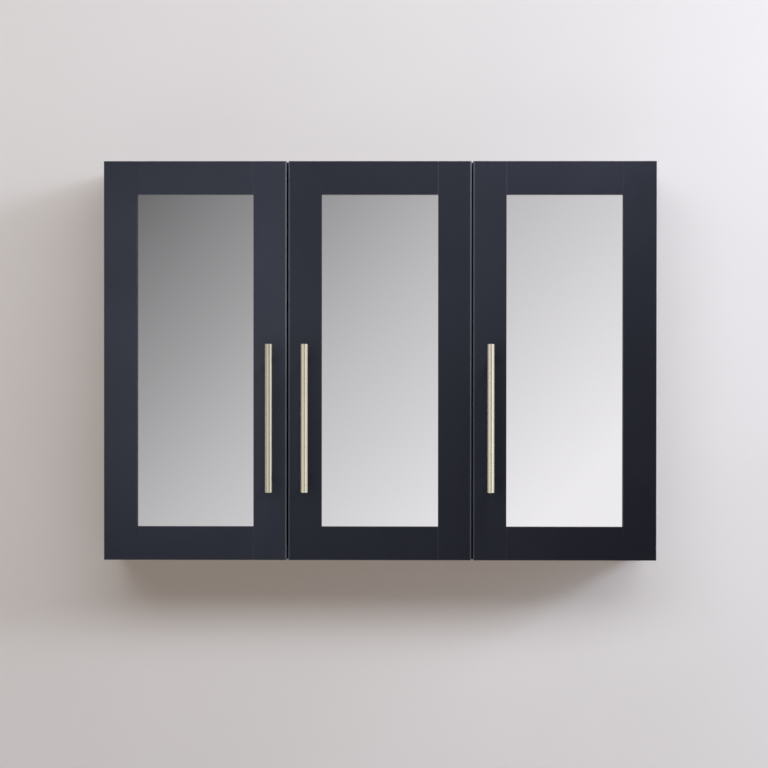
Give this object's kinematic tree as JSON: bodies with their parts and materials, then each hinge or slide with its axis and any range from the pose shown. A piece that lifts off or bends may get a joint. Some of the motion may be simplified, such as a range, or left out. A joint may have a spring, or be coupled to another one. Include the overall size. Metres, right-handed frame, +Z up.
{
  "type": "mirror cabinet",
  "caption": "Wall-hung mirror cabinet with dark blue framed mirror doors, round pale brass bar handles, shelves behind and concealed four-bar hinges.",
  "frame": {"origin": "middle of the four wall fixing holes, on the wall face", "axes": "+X to the right seen from the front, +Y into the wall, +Z up"},
  "size_m": [0.9, 0.185, 0.65],
  "materials": {
    "lacquered_frame": "satin lacquer",
    "lacquered_board": "satin lacquer",
    "hardboard": "matt",
    "raw_board": "matt",
    "beech": "matt",
    "mirror_glass": "polished",
    "pale_brass": "brushed",
    "nickel_steel": "nickel plated",
    "zinc_steel": "zinc plated",
    "bumper_rubber": "matt"
  },
  "bodies": {
    "carcass": {"left_side_panel": "lacquered_board", "right_side_panel": "lacquered_board", "top_panel": "lacquered_board", "bottom_panel": "lacquered_board", "partition_panel": "lacquered_board", "back_panel": "hardboard", "wall_rails": "raw_board", "wide_shelves": "lacquered_board", "narrow_shelves": "lacquered_board", "shelf_pins": "zinc_steel", "dowels": "beech", "hinge_plates": "nickel_steel", "hinge_arms": "nickel_steel", "arm_pins": "zinc_steel", "hinge_screws": "zinc_steel"},
    "left_inner_links": {"left_inner_links": "nickel_steel"},
    "left_door": {"left_hinge_stile": "lacquered_frame", "left_handle_stile": "lacquered_frame", "left_rails": "lacquered_frame", "left_mirror": "mirror_glass", "left_backing_board": "hardboard", "left_beads": "lacquered_frame", "left_bumpers": "bumper_rubber", "left_handle_bar": "pale_brass", "left_handle_posts": "pale_brass", "left_handle_screws": "zinc_steel", "left_hinge_cups": "nickel_steel", "left_cup_pins": "zinc_steel", "left_cup_screws": "zinc_steel"},
    "left_outer_links": {"left_outer_links": "nickel_steel"},
    "middle_inner_links": {"middle_inner_links": "nickel_steel"},
    "middle_door": {"middle_hinge_stile": "lacquered_frame", "middle_handle_stile": "lacquered_frame", "middle_rails": "lacquered_frame", "middle_mirror": "mirror_glass", "middle_backing_board": "hardboard", "middle_beads": "lacquered_frame", "middle_bumpers": "bumper_rubber", "middle_handle_bar": "pale_brass", "middle_handle_posts": "pale_brass", "middle_handle_screws": "zinc_steel", "middle_hinge_cups": "nickel_steel", "middle_cup_pins": "zinc_steel", "middle_cup_screws": "zinc_steel"},
    "middle_outer_links": {"middle_outer_links": "nickel_steel"},
    "right_inner_links": {"right_inner_links": "nickel_steel"},
    "right_door": {"right_hinge_stile": "lacquered_frame", "right_handle_stile": "lacquered_frame", "right_rails": "lacquered_frame", "right_mirror": "mirror_glass", "right_backing_board": "hardboard", "right_beads": "lacquered_frame", "right_bumpers": "bumper_rubber", "right_handle_bar": "pale_brass", "right_handle_posts": "pale_brass", "right_handle_screws": "zinc_steel", "right_hinge_cups": "nickel_steel", "right_cup_pins": "zinc_steel", "right_cup_screws": "zinc_steel"},
    "right_outer_links": {"right_outer_links": "nickel_steel"}
  },
  "joints": [
    {"name": "left_inner_link_turn", "type": "hinge", "parent": "carcass", "child": "left_inner_links", "pos_m": [-0.4236, -0.1237, 0], "axis": [0, 0, -1], "range_deg": [-40.29, 0]},
    {"name": "left_door_turn", "type": "hinge", "parent": "left_inner_links", "child": "left_door", "pos_m": [-0.4387, -0.1354, 0], "axis": [0, 0, -1], "range_deg": [0, 135.28]},
    {"name": "left_outer_link_turn", "type": "hinge", "parent": "carcass", "child": "left_outer_links", "pos_m": [-0.408, -0.127, 0], "axis": [0, 0, -1], "range_deg": [-35.57, 0]},
    {"name": "middle_inner_link_turn", "type": "hinge", "parent": "carcass", "child": "middle_inner_links", "pos_m": [0.1226, -0.1237, 0], "axis": [0, 0, 1], "range_deg": [-40.29, 0]},
    {"name": "middle_door_turn", "type": "hinge", "parent": "middle_inner_links", "child": "middle_door", "pos_m": [0.1377, -0.1354, 0], "axis": [0, 0, 1], "range_deg": [0, 135.28]},
    {"name": "middle_outer_link_turn", "type": "hinge", "parent": "carcass", "child": "middle_outer_links", "pos_m": [0.107, -0.127, 0], "axis": [0, 0, 1], "range_deg": [-35.57, 0]},
    {"name": "right_inner_link_turn", "type": "hinge", "parent": "carcass", "child": "right_inner_links", "pos_m": [0.4236, -0.1237, 0], "axis": [0, 0, 1], "range_deg": [-40.29, 0]},
    {"name": "right_door_turn", "type": "hinge", "parent": "right_inner_links", "child": "right_door", "pos_m": [0.4387, -0.1354, 0], "axis": [0, 0, 1], "range_deg": [0, 135.28]},
    {"name": "right_outer_link_turn", "type": "hinge", "parent": "carcass", "child": "right_outer_links", "pos_m": [0.408, -0.127, 0], "axis": [0, 0, 1], "range_deg": [-35.57, 0]}
  ],
  "couplings": [
    {"joint": "left_inner_link_turn", "follows": "left_door_turn", "ratio": -0.29775},
    {"joint": "left_outer_link_turn", "follows": "left_door_turn", "ratio": -0.26284},
    {"joint": "middle_inner_link_turn", "follows": "middle_door_turn", "ratio": -0.29775},
    {"joint": "middle_outer_link_turn", "follows": "middle_door_turn", "ratio": -0.26284},
    {"joint": "right_inner_link_turn", "follows": "right_door_turn", "ratio": -0.29775},
    {"joint": "right_outer_link_turn", "follows": "right_door_turn", "ratio": -0.26284}
  ]
}
